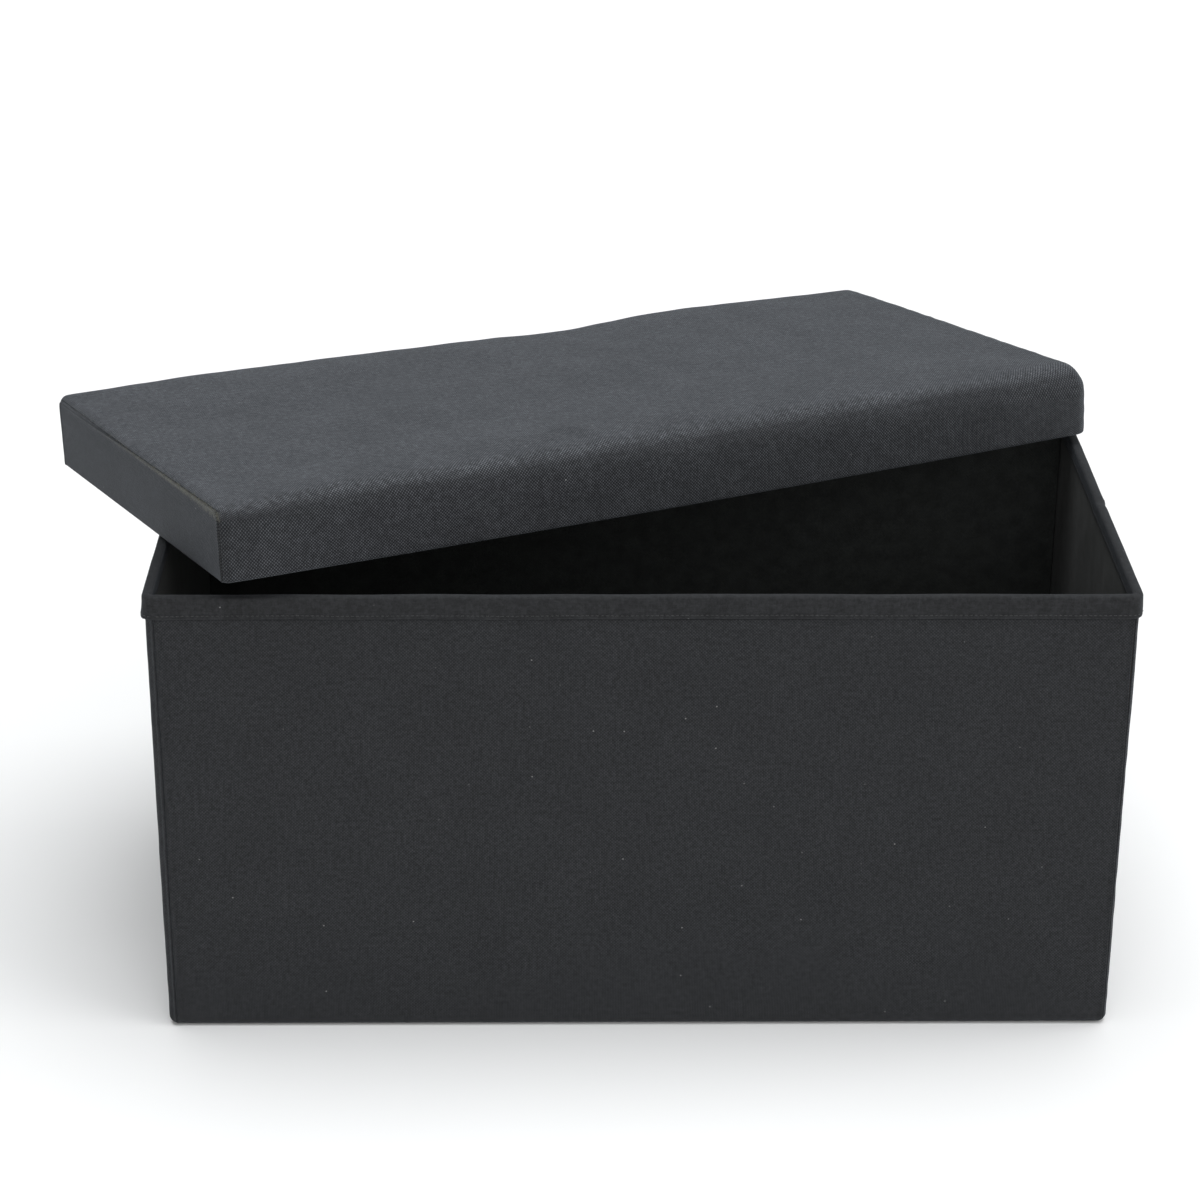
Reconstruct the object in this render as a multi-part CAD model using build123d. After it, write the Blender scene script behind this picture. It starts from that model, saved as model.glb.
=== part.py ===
"""Collapsible two-seat storage ottoman with a loose padded lid, in millimetres.

Frame: origin at the centre of the box's underside, +X to the right along the
long side, +Y to the back, +Z up.  The lid is modelled closed in a frame of its
own and then laid askew on the rim by LID_REST, the place where it rests.
"""
import os

from build123d import *

# ---- box ----------------------------------------------------------------
BOX_W = 760.0            # outside width of the fabric box, without the rim binding
BOX_D = 380.0            # outside depth
BOX_H = 381.0            # height to the top of the rim binding
COVER_T = 1.0            # outer woven cover
WALL_BOARD_T = 3.5       # fibreboard panel inside each wall
LINING_T = 0.8           # non-woven lining
EDGE_R = 7.0             # soft outer edges of the cover
FOLD_GAP = 1.5           # gap between the two half boards of a folding side wall

# ---- rim binding --------------------------------------------------------
BINDING_OUT_T = 2.0      # folded strip outside the wall
BINDING_IN_T = 0.8       # the same strip inside the wall
BINDING_TOP_T = 1.5      # the strip where it passes over the rim
BINDING_OUT_H = 18.0     # how far it comes down outside
BINDING_IN_H = 12.0      # how far it comes down inside

# ---- loose base board ---------------------------------------------------
BASE_W = 744.0
BASE_D = 364.0
BASE_T = 6.0             # covered thickness
BASE_COVER_T = 0.8
BASE_CLEARANCE = 0.3     # above the bottom cover
TAB_W = 25.0             # pull tab, a doubled ribbon sewn near the front edge
TAB_L = 45.0
TAB_T = 1.6
TAB_SETBACK = 4.0        # from the board's front edge

# ---- lid, in its own closed frame: z = 0 at the skirt's lower edge ------
LID_W = 780.0
LID_D = 404.0
LID_H = 59.5
CAVITY_H = 28.0          # depth of the hollow that drops over the box
LID_BOARD_T = 4.0
SKIRT_BOARD_T = 3.5
LID_LINING_T = 1.0
LID_CORNER_R = 10.0      # board corners; the skirt strips stop this far from the cover's corners
CUSHION_R = 16.0         # soft front and back top edges
FOAM_GAP = 0.2           # between the foam and the cover round it

# ---- how the lid lies on the rim ---------------------------------------
LID_CENTRE = (-52.25, 138.2, 371.95)    # centre of the skirt's lower edge
LID_YAW = 25.83                         # turned about +Z
LID_SIDE_TILT = 0.785                   # right end down
LID_BACK_TILT = -6.67                   # back edge down

# ---- derived ------------------------------------------------------------
WALL_T = COVER_T + WALL_BOARD_T + LINING_T
WALL_TOP = BOX_H - BINDING_TOP_T
INNER_R = EDGE_R - COVER_T
FLAT_W = BOX_W - 2 * EDGE_R             # flat part of the bottom, between the soft edges
FLAT_D = BOX_D - 2 * EDGE_R
BOARD_FOOT = EDGE_R                     # wall boards start above the soft bottom edge
LINING_FOOT = 2 * COVER_T
BASE_Z = COVER_T + BASE_CLEARANCE
SKIRT_T = COVER_T + SKIRT_BOARD_T + LID_LINING_T
LID_BOARD_Z = CAVITY_H + LID_LINING_T
FOAM_Z = LID_BOARD_Z + LID_BOARD_T
LID_REST = Pos(*LID_CENTRE) * Rot(0, 0, LID_YAW) * Rot(0, LID_SIDE_TILT, 0) * Rot(LID_BACK_TILT, 0, 0)

SIDES = {"front": -1, "back": 1}
ENDS = {"left": -1, "right": 1}


def block(x0, x1, y0, y1, z0, z1):
    """Box between two opposite corners."""
    centre = ((x0 + x1) / 2, (y0 + y1) / 2, (z0 + z1) / 2)
    return Pos(*centre) * Box(abs(x1 - x0), abs(y1 - y0), abs(z1 - z0))


def centred(width, depth, z0, z1):
    """Box centred on the Z axis, from z0 to z1."""
    return block(-width / 2, width / 2, -depth / 2, depth / 2, z0, z1)


# ---- box ----------------------------------------------------------------
def rounded_tub(width, depth, foot, top, radius):
    """Open-topped block with soft upright edges and a soft bottom edge."""
    body = centred(width, depth, foot, top)
    body = fillet(body.edges().filter_by(Axis.Z), radius)
    return fillet(body.faces().sort_by(Axis.Z)[0].edges(), radius)


def cover_shell():
    """The whole woven skin of the box, still in one piece."""
    outside = rounded_tub(BOX_W, BOX_D, 0, WALL_TOP, EDGE_R)
    inside = rounded_tub(BOX_W - 2 * COVER_T, BOX_D - 2 * COVER_T, COVER_T, BOX_H, INNER_R)
    return outside - inside


def long_cover(shell, side):
    """Front or back panel of the cover, with the soft corners at its ends."""
    return shell & block(-BOX_W, BOX_W, side * FLAT_D / 2, side * BOX_D, -BOX_H, 2 * BOX_H)


def end_cover(shell, end):
    """Left or right panel of the cover."""
    return shell & block(end * FLAT_W / 2, end * BOX_W, -FLAT_D / 2, FLAT_D / 2, -BOX_H, 2 * BOX_H)


def bottom_cover(shell):
    return shell & centred(FLAT_W, FLAT_D, -COVER_T, 2 * COVER_T)


def long_board(side):
    """Stiff board of the front or back wall."""
    outer = side * (BOX_D / 2 - COVER_T)
    return block(-FLAT_W / 2, FLAT_W / 2, outer, outer - side * WALL_BOARD_T, BOARD_FOOT, WALL_TOP)


def half_end_board(end, side):
    """One half of a side wall's board, split so that the wall can fold inwards."""
    outer = end * (BOX_W / 2 - COVER_T)
    middle = side * FOLD_GAP / 2
    return block(outer, outer - end * WALL_BOARD_T, middle, side * FLAT_D / 2, BOARD_FOOT, WALL_TOP)


def long_lining(side):
    outer = side * (BOX_D / 2 - COVER_T - WALL_BOARD_T)
    half = BOX_W / 2 - COVER_T - WALL_BOARD_T
    return block(-half, half, outer, outer - side * LINING_T, LINING_FOOT, WALL_TOP)


def end_lining(end):
    outer = end * (BOX_W / 2 - COVER_T - WALL_BOARD_T)
    half = BOX_D / 2 - WALL_T
    return block(outer, outer - end * LINING_T, -half, half, LINING_FOOT, WALL_TOP)


def binding_ring():
    """Strip folded over the whole rim, still in one piece."""
    wall_w, wall_d = BOX_W - 2 * WALL_T, BOX_D - 2 * WALL_T
    outer_leg = centred(BOX_W + 2 * BINDING_OUT_T, BOX_D + 2 * BINDING_OUT_T, BOX_H - BINDING_OUT_H, BOX_H)
    outer_leg -= centred(BOX_W, BOX_D, 0, WALL_TOP)
    inner_leg = centred(wall_w, wall_d, BOX_H - BINDING_IN_H, WALL_TOP)
    mouth = centred(wall_w - 2 * BINDING_IN_T, wall_d - 2 * BINDING_IN_T, 0, 2 * BOX_H)
    return outer_leg + inner_leg - mouth


def long_binding(ring, side):
    split = BOX_D / 2 - WALL_T - BINDING_IN_T
    return ring & block(-BOX_W, BOX_W, side * split, side * BOX_D, 0, 2 * BOX_H)


def end_binding(ring, end):
    split = BOX_D / 2 - WALL_T - BINDING_IN_T
    return ring & block(0, end * BOX_W, -split, split, 0, 2 * BOX_H)


def box_parts():
    shell = cover_shell()
    ring = binding_ring()
    parts = {"bottom_cover": bottom_cover(shell)}
    for name, side in SIDES.items():
        parts[f"{name}_cover"] = long_cover(shell, side)
        parts[f"{name}_board"] = long_board(side)
        parts[f"{name}_lining"] = long_lining(side)
        parts[f"{name}_binding"] = long_binding(ring, side)
    for name, end in ENDS.items():
        parts[f"{name}_cover"] = end_cover(shell, end)
        parts[f"{name}_front_board"] = half_end_board(end, -1)
        parts[f"{name}_rear_board"] = half_end_board(end, 1)
        parts[f"{name}_lining"] = end_lining(end)
        parts[f"{name}_binding"] = end_binding(ring, end)
    return parts


# ---- loose base board ---------------------------------------------------
def base_board_core():
    width, depth = BASE_W - 2 * BASE_COVER_T, BASE_D - 2 * BASE_COVER_T
    return centred(width, depth, BASE_Z + BASE_COVER_T, BASE_Z + BASE_T - BASE_COVER_T)


def base_board_cover():
    """Sleeve sewn closed round the core."""
    return centred(BASE_W, BASE_D, BASE_Z, BASE_Z + BASE_T) - base_board_core()


def pull_tab():
    front = -BASE_D / 2 + TAB_SETBACK
    top = BASE_Z + BASE_T
    return block(-TAB_W / 2, TAB_W / 2, front, front + TAB_L, top, top + TAB_T)


def base_board_parts():
    return {
        "base_board_core": base_board_core(),
        "base_board_cover": base_board_cover(),
        "pull_tab": pull_tab(),
    }


# ---- lid, closed frame --------------------------------------------------
def cushion_block(inset, foot):
    """Lid-shaped block with soft front and back top edges, inset on every outer face."""
    body = centred(LID_W - 2 * COVER_T, LID_D - 2 * inset, foot, LID_H - inset)
    edges = body.faces().sort_by(Axis.Z)[-1].edges().filter_by(Axis.X)
    return fillet(edges, CUSHION_R - inset)


def lid_end_cover(end):
    """Sewn end panel, with its hem turned under the skirt."""
    panel = centred(LID_W, LID_D, 0, LID_H)
    panel = fillet(panel.faces().sort_by(Axis.Z)[-1].edges().filter_by(Axis.X), CUSHION_R)
    panel &= block(end * (LID_W / 2 - COVER_T), end * LID_W, -LID_D, LID_D, 0, LID_H)
    hem = block(end * (LID_W / 2 - SKIRT_T), end * (LID_W / 2 - COVER_T), -LID_D / 2 + SKIRT_T, LID_D / 2 - SKIRT_T, 0, COVER_T)
    return panel + hem


def lid_long_cover(side):
    """Front or back face of the cover, with its hem turned under the skirt."""
    half = LID_W / 2 - COVER_T
    face = block(-half, half, side * (LID_D / 2 - COVER_T), side * LID_D / 2, 0, FOAM_Z)
    hem = block(-half, half, side * (LID_D / 2 - SKIRT_T), side * (LID_D / 2 - COVER_T), 0, COVER_T)
    return face + hem


def lid_top_cover():
    """Top of the cover, down over the foam to the board."""
    return cushion_block(0, FOAM_Z) - cushion_block(COVER_T, 0)


def lid_foam():
    return cushion_block(COVER_T + FOAM_GAP, FOAM_Z)


def lid_board():
    board = centred(LID_W - 2 * COVER_T, LID_D - 2 * COVER_T, LID_BOARD_Z, FOAM_Z)
    return fillet(board.edges().filter_by(Axis.Z), LID_CORNER_R)


def lid_long_skirt_board(side):
    """Strip that stops short of the corners, so that the cloth can turn them softly."""
    outer = side * (LID_D / 2 - COVER_T)
    half = LID_W / 2 - LID_CORNER_R
    return block(-half, half, outer, outer - side * SKIRT_BOARD_T, COVER_T, LID_BOARD_Z)


def lid_end_skirt_board(end):
    outer = end * (LID_W / 2 - COVER_T)
    half = LID_D / 2 - LID_CORNER_R
    return block(outer, outer - end * SKIRT_BOARD_T, -half, half, COVER_T, LID_BOARD_Z)


def lid_ceiling_lining():
    inset = 2 * (COVER_T + SKIRT_BOARD_T)
    return centred(LID_W - inset, LID_D - inset, CAVITY_H, LID_BOARD_Z)


def lid_long_lining(side):
    outer = side * (LID_D / 2 - COVER_T - SKIRT_BOARD_T)
    half = LID_W / 2 - COVER_T - SKIRT_BOARD_T
    return block(-half, half, outer, outer - side * LID_LINING_T, COVER_T, CAVITY_H)


def lid_end_lining(end):
    outer = end * (LID_W / 2 - COVER_T - SKIRT_BOARD_T)
    half = LID_D / 2 - SKIRT_T
    return block(outer, outer - end * LID_LINING_T, -half, half, COVER_T, CAVITY_H)


def lid_parts():
    parts = {
        "lid_board": lid_board(),
        "lid_foam": lid_foam(),
        "lid_top_cover": lid_top_cover(),
        "lid_ceiling_lining": lid_ceiling_lining(),
    }
    for name, side in SIDES.items():
        parts[f"lid_{name}_cover"] = lid_long_cover(side)
        parts[f"lid_{name}_skirt_board"] = lid_long_skirt_board(side)
        parts[f"lid_{name}_lining"] = lid_long_lining(side)
    for name, end in ENDS.items():
        parts[f"lid_{name}_cover"] = lid_end_cover(end)
        parts[f"lid_{name}_skirt_board"] = lid_end_skirt_board(end)
        parts[f"lid_{name}_lining"] = lid_end_lining(end)
    return {name: LID_REST * part for name, part in parts.items()}


def main():
    os.makedirs("parts", exist_ok=True)
    everything = {**box_parts(), **base_board_parts(), **lid_parts()}
    for name, part in everything.items():
        export_step(part, f"parts/{name}.step")
    print(len(everything), "nodes written")


main()
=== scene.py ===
import math

import bpy
import numpy as np
from mathutils import Matrix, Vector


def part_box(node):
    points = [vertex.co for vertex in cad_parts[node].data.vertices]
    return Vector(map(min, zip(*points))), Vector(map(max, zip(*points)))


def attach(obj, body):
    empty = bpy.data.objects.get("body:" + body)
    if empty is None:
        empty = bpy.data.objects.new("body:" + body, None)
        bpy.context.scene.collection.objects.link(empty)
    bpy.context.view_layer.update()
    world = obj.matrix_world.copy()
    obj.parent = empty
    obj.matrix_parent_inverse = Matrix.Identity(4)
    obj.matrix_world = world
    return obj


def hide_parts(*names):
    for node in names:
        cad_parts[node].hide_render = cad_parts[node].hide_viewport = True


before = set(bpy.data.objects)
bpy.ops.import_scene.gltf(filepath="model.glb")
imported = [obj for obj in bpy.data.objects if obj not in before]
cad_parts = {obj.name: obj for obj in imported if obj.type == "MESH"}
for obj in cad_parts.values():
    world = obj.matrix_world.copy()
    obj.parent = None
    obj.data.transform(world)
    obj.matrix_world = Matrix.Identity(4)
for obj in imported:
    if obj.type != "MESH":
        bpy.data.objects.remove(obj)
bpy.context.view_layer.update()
MM = 0.001

# ---- measures
# The box: outer faces of the walls, top of the rim, inner faces of the lining.
BOX_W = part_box("front_cover")[1].x * 2
BOX_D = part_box("back_cover")[1].y * 2
RIM_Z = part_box("front_binding")[1].z
WALL_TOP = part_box("front_cover")[1].z
BINDING_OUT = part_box("back_binding")[1].y - BOX_D / 2
BINDING_H = RIM_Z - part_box("front_binding")[0].z
INNER_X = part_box("right_lining")[0].x
INNER_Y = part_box("back_lining")[0].y
RIM_T = BOX_D / 2 + BINDING_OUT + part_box("front_binding")[1].y
LINING_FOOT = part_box("front_lining")[0].z
CORNER_R = 8 * MM          # soft upright corners of the box cover
FOOT_R = 7 * MM            # soft lower edge of the box cover
COVER_CLOTH = 0.9 * MM     # thickness of the cover's cloth
BOTTOM_CLOTH = 0.7 * MM    # of the cloth under the box
LINING_CLOTH = 0.6 * MM    # of the lining and of the ribbon


def node_points(name):
    return np.array([v.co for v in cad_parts[name].data.vertices])


def lid_axes():
    """The lid's own axes, long side X and up Z, and the centre of its board, from its flat faces."""
    points = node_points("lid_front_skirt_board")
    normals = np.array([p.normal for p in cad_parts["lid_front_skirt_board"].data.polygons])
    spans = [np.ptp(points @ n) for n in normals]
    along = normals[int(np.argmax(spans))]
    back = normals[int(np.argmin(spans))]
    along = along * np.sign(along[0])
    back = back * np.sign(back[1])
    turn = np.column_stack([along, back, np.cross(along, back)])
    board = node_points("lid_board") @ turn
    return turn, turn @ ((board.min(0) + board.max(0)) / 2)


LID_TURN, LID_CENTRE = lid_axes()


def lid_box(node):
    """Lowest and highest corner of a lid node in the lid's own axes, about the board's centre."""
    local = (node_points(node) - LID_CENTRE) @ LID_TURN
    return local.min(0), local.max(0)


LID_FOOT = lid_box("lid_front_cover")[0][2]
LID_ORIGIN = LID_CENTRE + LID_TURN @ np.array([0, 0, LID_FOOT])
LID_X = lid_box("lid_right_cover")[1][0]    # half the lid's length
LID_Y = lid_box("lid_back_cover")[1][1]     # half its depth
LID_H = lid_box("lid_top_cover")[1][2] - LID_FOOT
FOAM_Z = lid_box("lid_foam")[0][2] - LID_FOOT
CEILING_Z = lid_box("lid_ceiling_lining")[0][2] - LID_FOOT
SKIRT_T = LID_Y - lid_box("lid_back_lining")[0][1]
LID_PLACE = Matrix.Translation(LID_ORIGIN) @ Matrix(LID_TURN.tolist()).to_4x4()


# ---- mesh tools
def graded(start, end, step, fine, reach):
    """Positions from start to end, fine near both ends and step apart between."""
    near = np.arange(0, reach, fine)
    middle = np.linspace(start + reach, end - reach, max(2, round((end - start - 2 * reach) / step)))
    return np.unique(np.concatenate([start + near, middle, end - near]).round(7))


def ripple(a, b, wavelength, seed):
    """Smooth uneven field of about unit height over two coordinates in metres."""
    waves = 8
    rng = np.random.default_rng(seed)
    total = 0
    for _ in range(waves):
        angle = rng.uniform(0, math.tau)
        phase = rng.uniform(0, math.tau)
        k = math.tau / (wavelength * rng.uniform(0.6, 1.7))
        total = total + np.cos(k * (a * math.cos(angle) + b * math.sin(angle)) + phase)
    return total / math.sqrt(waves)


def bump(x, centre, width):
    """Bell curve, 1 high at the centre."""
    return np.exp(-(((x - centre) / width) ** 2))


def smooth(x, low, high):
    """Rises softly from 0 at low to 1 at high."""
    t = np.clip((x - low) / (high - low), 0, 1)
    return t * t * (3 - 2 * t)


def grid_normals(points):
    """Unit normals of a grid of points, rows by columns."""
    n = np.cross(np.gradient(points, axis=0), np.gradient(points, axis=1))
    return n / np.maximum(np.linalg.norm(n, axis=2, keepdims=True), 1e-12)


def grid_faces(rows, cols, first=0, flip=False, wrap=False):
    """Quads of a grid of vertices numbered from first; wrap joins its last column to the first one."""
    r = np.arange(rows - 1)[:, None]
    c = np.arange(cols if wrap else cols - 1)[None, :]
    n = (c + 1) % cols
    quad = np.stack([r * cols + c, r * cols + n, (r + 1) * cols + n, (r + 1) * cols + c], -1)
    quad = quad.reshape(-1, 4) + first
    return quad[:, ::-1] if flip else quad


def border(rows, cols):
    """Vertices round the edge of a grid, in order."""
    top = np.arange(cols)
    right = np.arange(1, rows) * cols + cols - 1
    bottom = (rows - 1) * cols + np.arange(cols)
    left = np.arange(rows - 2, 0, -1) * cols
    return np.concatenate([top, right, bottom[-2::-1], left])


def distances(path):
    """Distance of each point of a path from its start."""
    return np.concatenate([[0], np.cumsum(np.linalg.norm(np.diff(path, axis=0), axis=1))])


def at_distances(at, run, values):
    """Values given at the distances run, read at the distances at."""
    return np.stack([np.interp(at, run, column) for column in values.T], 1)


def subdivided(corners, count):
    """Straight runs between corners, each of count points."""
    return np.concatenate([np.linspace(a, b, count) for a, b in zip(corners[:-1], corners[1:])])


def add_object(name, data):
    """New object in the scene, from a mesh, a light or a camera."""
    piece = bpy.data.objects.new(name, data)
    bpy.context.scene.collection.objects.link(piece)
    return piece


def make_mesh(name, vertices, faces, uv=None):
    """Smooth-shaded mesh object; uv holds one pair per vertex, in metres of cloth."""
    mesh = bpy.data.meshes.new(name)
    mesh.from_pydata(np.asarray(vertices).tolist(), [], [list(f) for f in faces])
    if uv is not None:
        layer = mesh.uv_layers.new(name="cloth")
        corner = np.empty(len(mesh.loops), np.int32)
        mesh.loops.foreach_get("vertex_index", corner)
        layer.data.foreach_set("uv", np.asarray(uv, np.float32)[corner].ravel())
    mesh.polygons.foreach_set("use_smooth", [True] * len(mesh.polygons))
    mesh.update()
    return add_object(name, mesh)


def two_layers(name, outer, inner, uv, flip):
    """Closed piece between two grids of points, joined round their edges."""
    rows, cols, _ = outer.shape
    count = rows * cols
    loop = border(rows, cols)
    ahead = np.roll(loop, -1)
    side = np.stack([loop, ahead, ahead + count, loop + count], 1)
    side = side[:, ::-1] if flip else side
    faces = [grid_faces(rows, cols, 0, not flip), grid_faces(rows, cols, count, flip), side]
    vertices = np.concatenate([outer.reshape(-1, 3), inner.reshape(-1, 3)])
    return make_mesh(name, vertices, np.concatenate(faces), uv)


def cloth(name, points, thickness, flip=False):
    """Closed cloth of a given thickness, its outer face on a grid of points."""
    inner = points - grid_normals(points) * (-thickness if flip else thickness)
    rows, cols, _ = points.shape
    v, u = np.meshgrid(distances(points[:, cols // 2]), distances(points[rows // 2]), indexing="ij")
    uv = np.stack([u.ravel(), v.ravel()], 1)
    return two_layers(name, points, inner, np.tile(uv, (2, 1)), flip)


def pillow(name, xs, ys, low, high, edge):
    """Closed slab over a grid, slightly uneven on top, its edges rounded over the distance edge."""
    x, y = np.meshgrid(xs, ys)
    inset = np.minimum.reduce([x - xs[0], xs[-1] - x, y - ys[0], ys[-1] - y])
    full = np.sqrt(1 - (1 - np.clip(inset / edge, 0, 1)) ** 2)
    middle = (low + high) / 2
    top = middle + (high - middle) * full + 0.12 * MM * ripple(x, y, 0.07, 81) * full
    under = middle - (middle - low) * full
    rows, cols = x.shape
    upper = np.stack([x, y, top], -1).reshape(-1, 3)
    lower = np.stack([x, y, under], -1).reshape(-1, 3)
    inside = np.setdiff1d(np.arange(rows * cols), border(rows, cols))
    number = np.arange(rows * cols)
    number[inside] = rows * cols + np.arange(len(inside))
    faces = [grid_faces(rows, cols), number[grid_faces(rows, cols, flip=True)]]
    vertices = np.concatenate([upper, lower[inside]])
    return make_mesh(name, vertices, np.concatenate(faces), vertices[:, :2])


def tube(path, radius, sides, out):
    """Capped tube along a path: its points and faces. The section's first axis points along out."""
    run = np.gradient(path, axis=0)
    run = run / np.linalg.norm(run, axis=1, keepdims=True)
    first = out - run * (out * run).sum(1, keepdims=True)
    first = first / np.linalg.norm(first, axis=1, keepdims=True)
    second = np.cross(run, first)
    angle = np.linspace(0, math.tau, sides, endpoint=False)[None, :, None]
    ring = np.cos(angle) * first[:, None] + np.sin(angle) * second[:, None]
    points = path[:, None] + radius[:, None, None] * ring
    last = (len(path) - 1) * sides
    faces = grid_faces(len(path), sides, wrap=True).tolist()
    faces += [list(range(sides))[::-1], [last + i for i in range(sides)]]
    return points.reshape(-1, 3), faces


def joined(name, parts):
    """One mesh object from a list of parts, each its points and faces."""
    faces, first = [], 0
    for points, own_faces in parts:
        faces += [[i + first for i in f] for f in own_faces]
        first += len(points)
    return make_mesh(name, np.concatenate([points for points, _ in parts]), faces)


def stitches(name, path, normals, length=2.6 * MM, gap=1.2 * MM, radius=0.32 * MM):
    """Row of separate thread stitches along a path that lies on the cloth, each sunk in a little."""
    sink = 0.12 * MM
    profile = np.array([0.25, 0.85, 1.0, 0.85, 0.25])
    normals = np.broadcast_to(np.asarray(normals, float), path.shape)
    run = distances(path)
    parts = []
    at = gap
    while at + length < run[-1]:
        along = np.linspace(at, at + length, len(profile))
        out = at_distances(along, run, normals)
        centre = at_distances(along, run, path) + (radius * profile - sink)[:, None] * out
        parts.append(tube(centre, radius * profile, 6, out))
        at += length + gap
    return joined(name, parts)


# ---- walls of the box and of the lid's skirt
WALLS = {"front": (0, -1), "right": (1, 0), "back": (0, 1), "left": (-1, 0)}   # outward directions


def at_end(side):
    return side in ("right", "left")


def reach_and_half(side, half_x, half_y):
    """How far out a wall lies, and half its length."""
    return (half_x, half_y) if at_end(side) else (half_y, half_x)


def on_wall(side, reach, s, z):
    """Points on a wall: reach metres out, s metres along it, at height z."""
    nx, ny = WALLS[side]
    return np.stack([nx * reach - ny * s, ny * reach + nx * s, z], -1)


# ---- materials
class Shader:
    """A material's node tree, with short calls for the nodes used here."""

    def __init__(self, name, roughness, specular=0.3, sheen=0.0, sheen_roughness=0.4, sheen_tint=(1, 1, 1)):
        self.material = bpy.data.materials.new(name)
        self.material.use_nodes = True
        self.tree = self.material.node_tree
        self.shader = self.tree.nodes["Principled BSDF"]
        self.shader.inputs["Roughness"].default_value = roughness
        self.shader.inputs["Specular IOR Level"].default_value = specular
        self.shader.inputs["Sheen Weight"].default_value = sheen
        self.shader.inputs["Sheen Roughness"].default_value = sheen_roughness
        self.shader.inputs["Sheen Tint"].default_value = (*sheen_tint, 1)

    def put(self, socket, value):
        """Links a socket to another one, or gives it a plain value."""
        if isinstance(value, bpy.types.NodeSocket):
            self.tree.links.new(value, socket)
        elif socket.type == "VECTOR":
            socket.default_value = value[:3]
        else:
            socket.default_value = value

    def node(self, kind, inputs, **settings):
        node = self.tree.nodes.new("ShaderNode" + kind)
        for name, value in settings.items():
            setattr(node, name, value)
        for place, value in inputs.items():
            self.put(node.inputs[place], value)
        return node

    def math(self, operation, a, b=0.0):
        return self.node("Math", {0: a, 1: b}, operation=operation).outputs[0]

    def product(self, first, *factors):
        for factor in factors:
            first = self.math("MULTIPLY", first, factor)
        return first

    def wave(self, turns):
        return self.math("SINE", self.product(turns, math.tau))

    def coordinates(self, kind):
        return self.node("TexCoord", {}).outputs[kind]

    def split(self, vector):
        return self.node("SeparateXYZ", {0: vector}).outputs

    def scaled(self, vector, scale):
        return self.node("VectorMath", {0: vector, 1: scale}, operation="MULTIPLY").outputs[0]

    def noise(self, vector, scale, detail=2.0, roughness=0.5, output="Fac"):
        inputs = {"Vector": vector, "Scale": scale, "Detail": detail, "Roughness": roughness}
        return self.node("TexNoise", inputs).outputs[output]

    def specks(self, vector, scale, size, share, flat=False):
        """Small dots of varied strength, one in some of the cells of a cell pattern."""
        dimensions = "2D" if flat else "3D"
        cells = self.node("TexVoronoi", {"Vector": vector, "Scale": scale}, voronoi_dimensions=dimensions)
        dot = self.math("LESS_THAN", cells.outputs["Distance"], size)
        chance = self.split(cells.outputs["Color"])[0]
        chosen = self.math("LESS_THAN", chance, share)
        return self.product(dot, chosen, chance, 1 / share)

    def spread(self, value, low, high, to_low=0.0, to_high=1.0):
        """Value moved from the range low to high into the range to_low to to_high, and kept in it."""
        inputs = {"Value": value, "From Min": low, "From Max": high, "To Min": to_low, "To Max": to_high}
        return self.node("MapRange", inputs).outputs[0]

    def mix(self, factor, a, b):
        return self.node("Mix", {0: factor, 6: a, 7: b}, data_type="RGBA").outputs[2]

    def shade(self, colour, factor):
        """Colour multiplied by a number."""
        return self.node("VectorMath", {0: colour, "Scale": factor}, operation="SCALE").outputs[0]

    def finish(self, colour, height=None, depth=0.1 * MM, strength=1.0, roughness=None):
        self.put(self.shader.inputs["Base Color"], colour)
        if roughness is not None:
            self.put(self.shader.inputs["Roughness"], roughness)
        if height is not None:
            relief = self.node("Bump", {"Strength": strength, "Distance": depth, "Height": height})
            self.put(self.shader.inputs["Normal"], relief.outputs[0])
        return self.material


def weave(s, cloth_uv, place, pitch):
    """Plain weave on the cloth's own coordinates: (which thread is on top, height from 0 to 1)."""
    yarns = s.scaled(cloth_uv, (1 / pitch, 1 / pitch, 1))
    stray = s.noise(place, 55.0, output="Color")
    bent = s.node("VectorMath", {0: stray, 1: (0.9, 0.9, 0), 2: yarns}, operation="MULTIPLY_ADD")
    uv = s.split(bent.outputs[0])
    cell = s.math("ADD", s.math("FLOOR", uv[0]), s.math("FLOOR", uv[1]))
    over = s.math("LESS_THAN", s.math("FLOORED_MODULO", cell, 2.0), 0.5)

    def falling(fraction, amount):
        off = s.math("SUBTRACT", s.product(fraction, 2.0), 1.0)
        return s.math("SUBTRACT", 1.0, s.product(off, off, amount))

    u = s.math("FRACT", uv[0])
    v = s.math("FRACT", uv[1])
    warp = s.product(falling(u, 0.95), falling(v, 0.45), over)
    weft = s.product(falling(v, 0.95), falling(u, 0.45), s.math("SUBTRACT", 1.0, over))
    return over, s.math("ADD", warp, weft)


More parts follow.
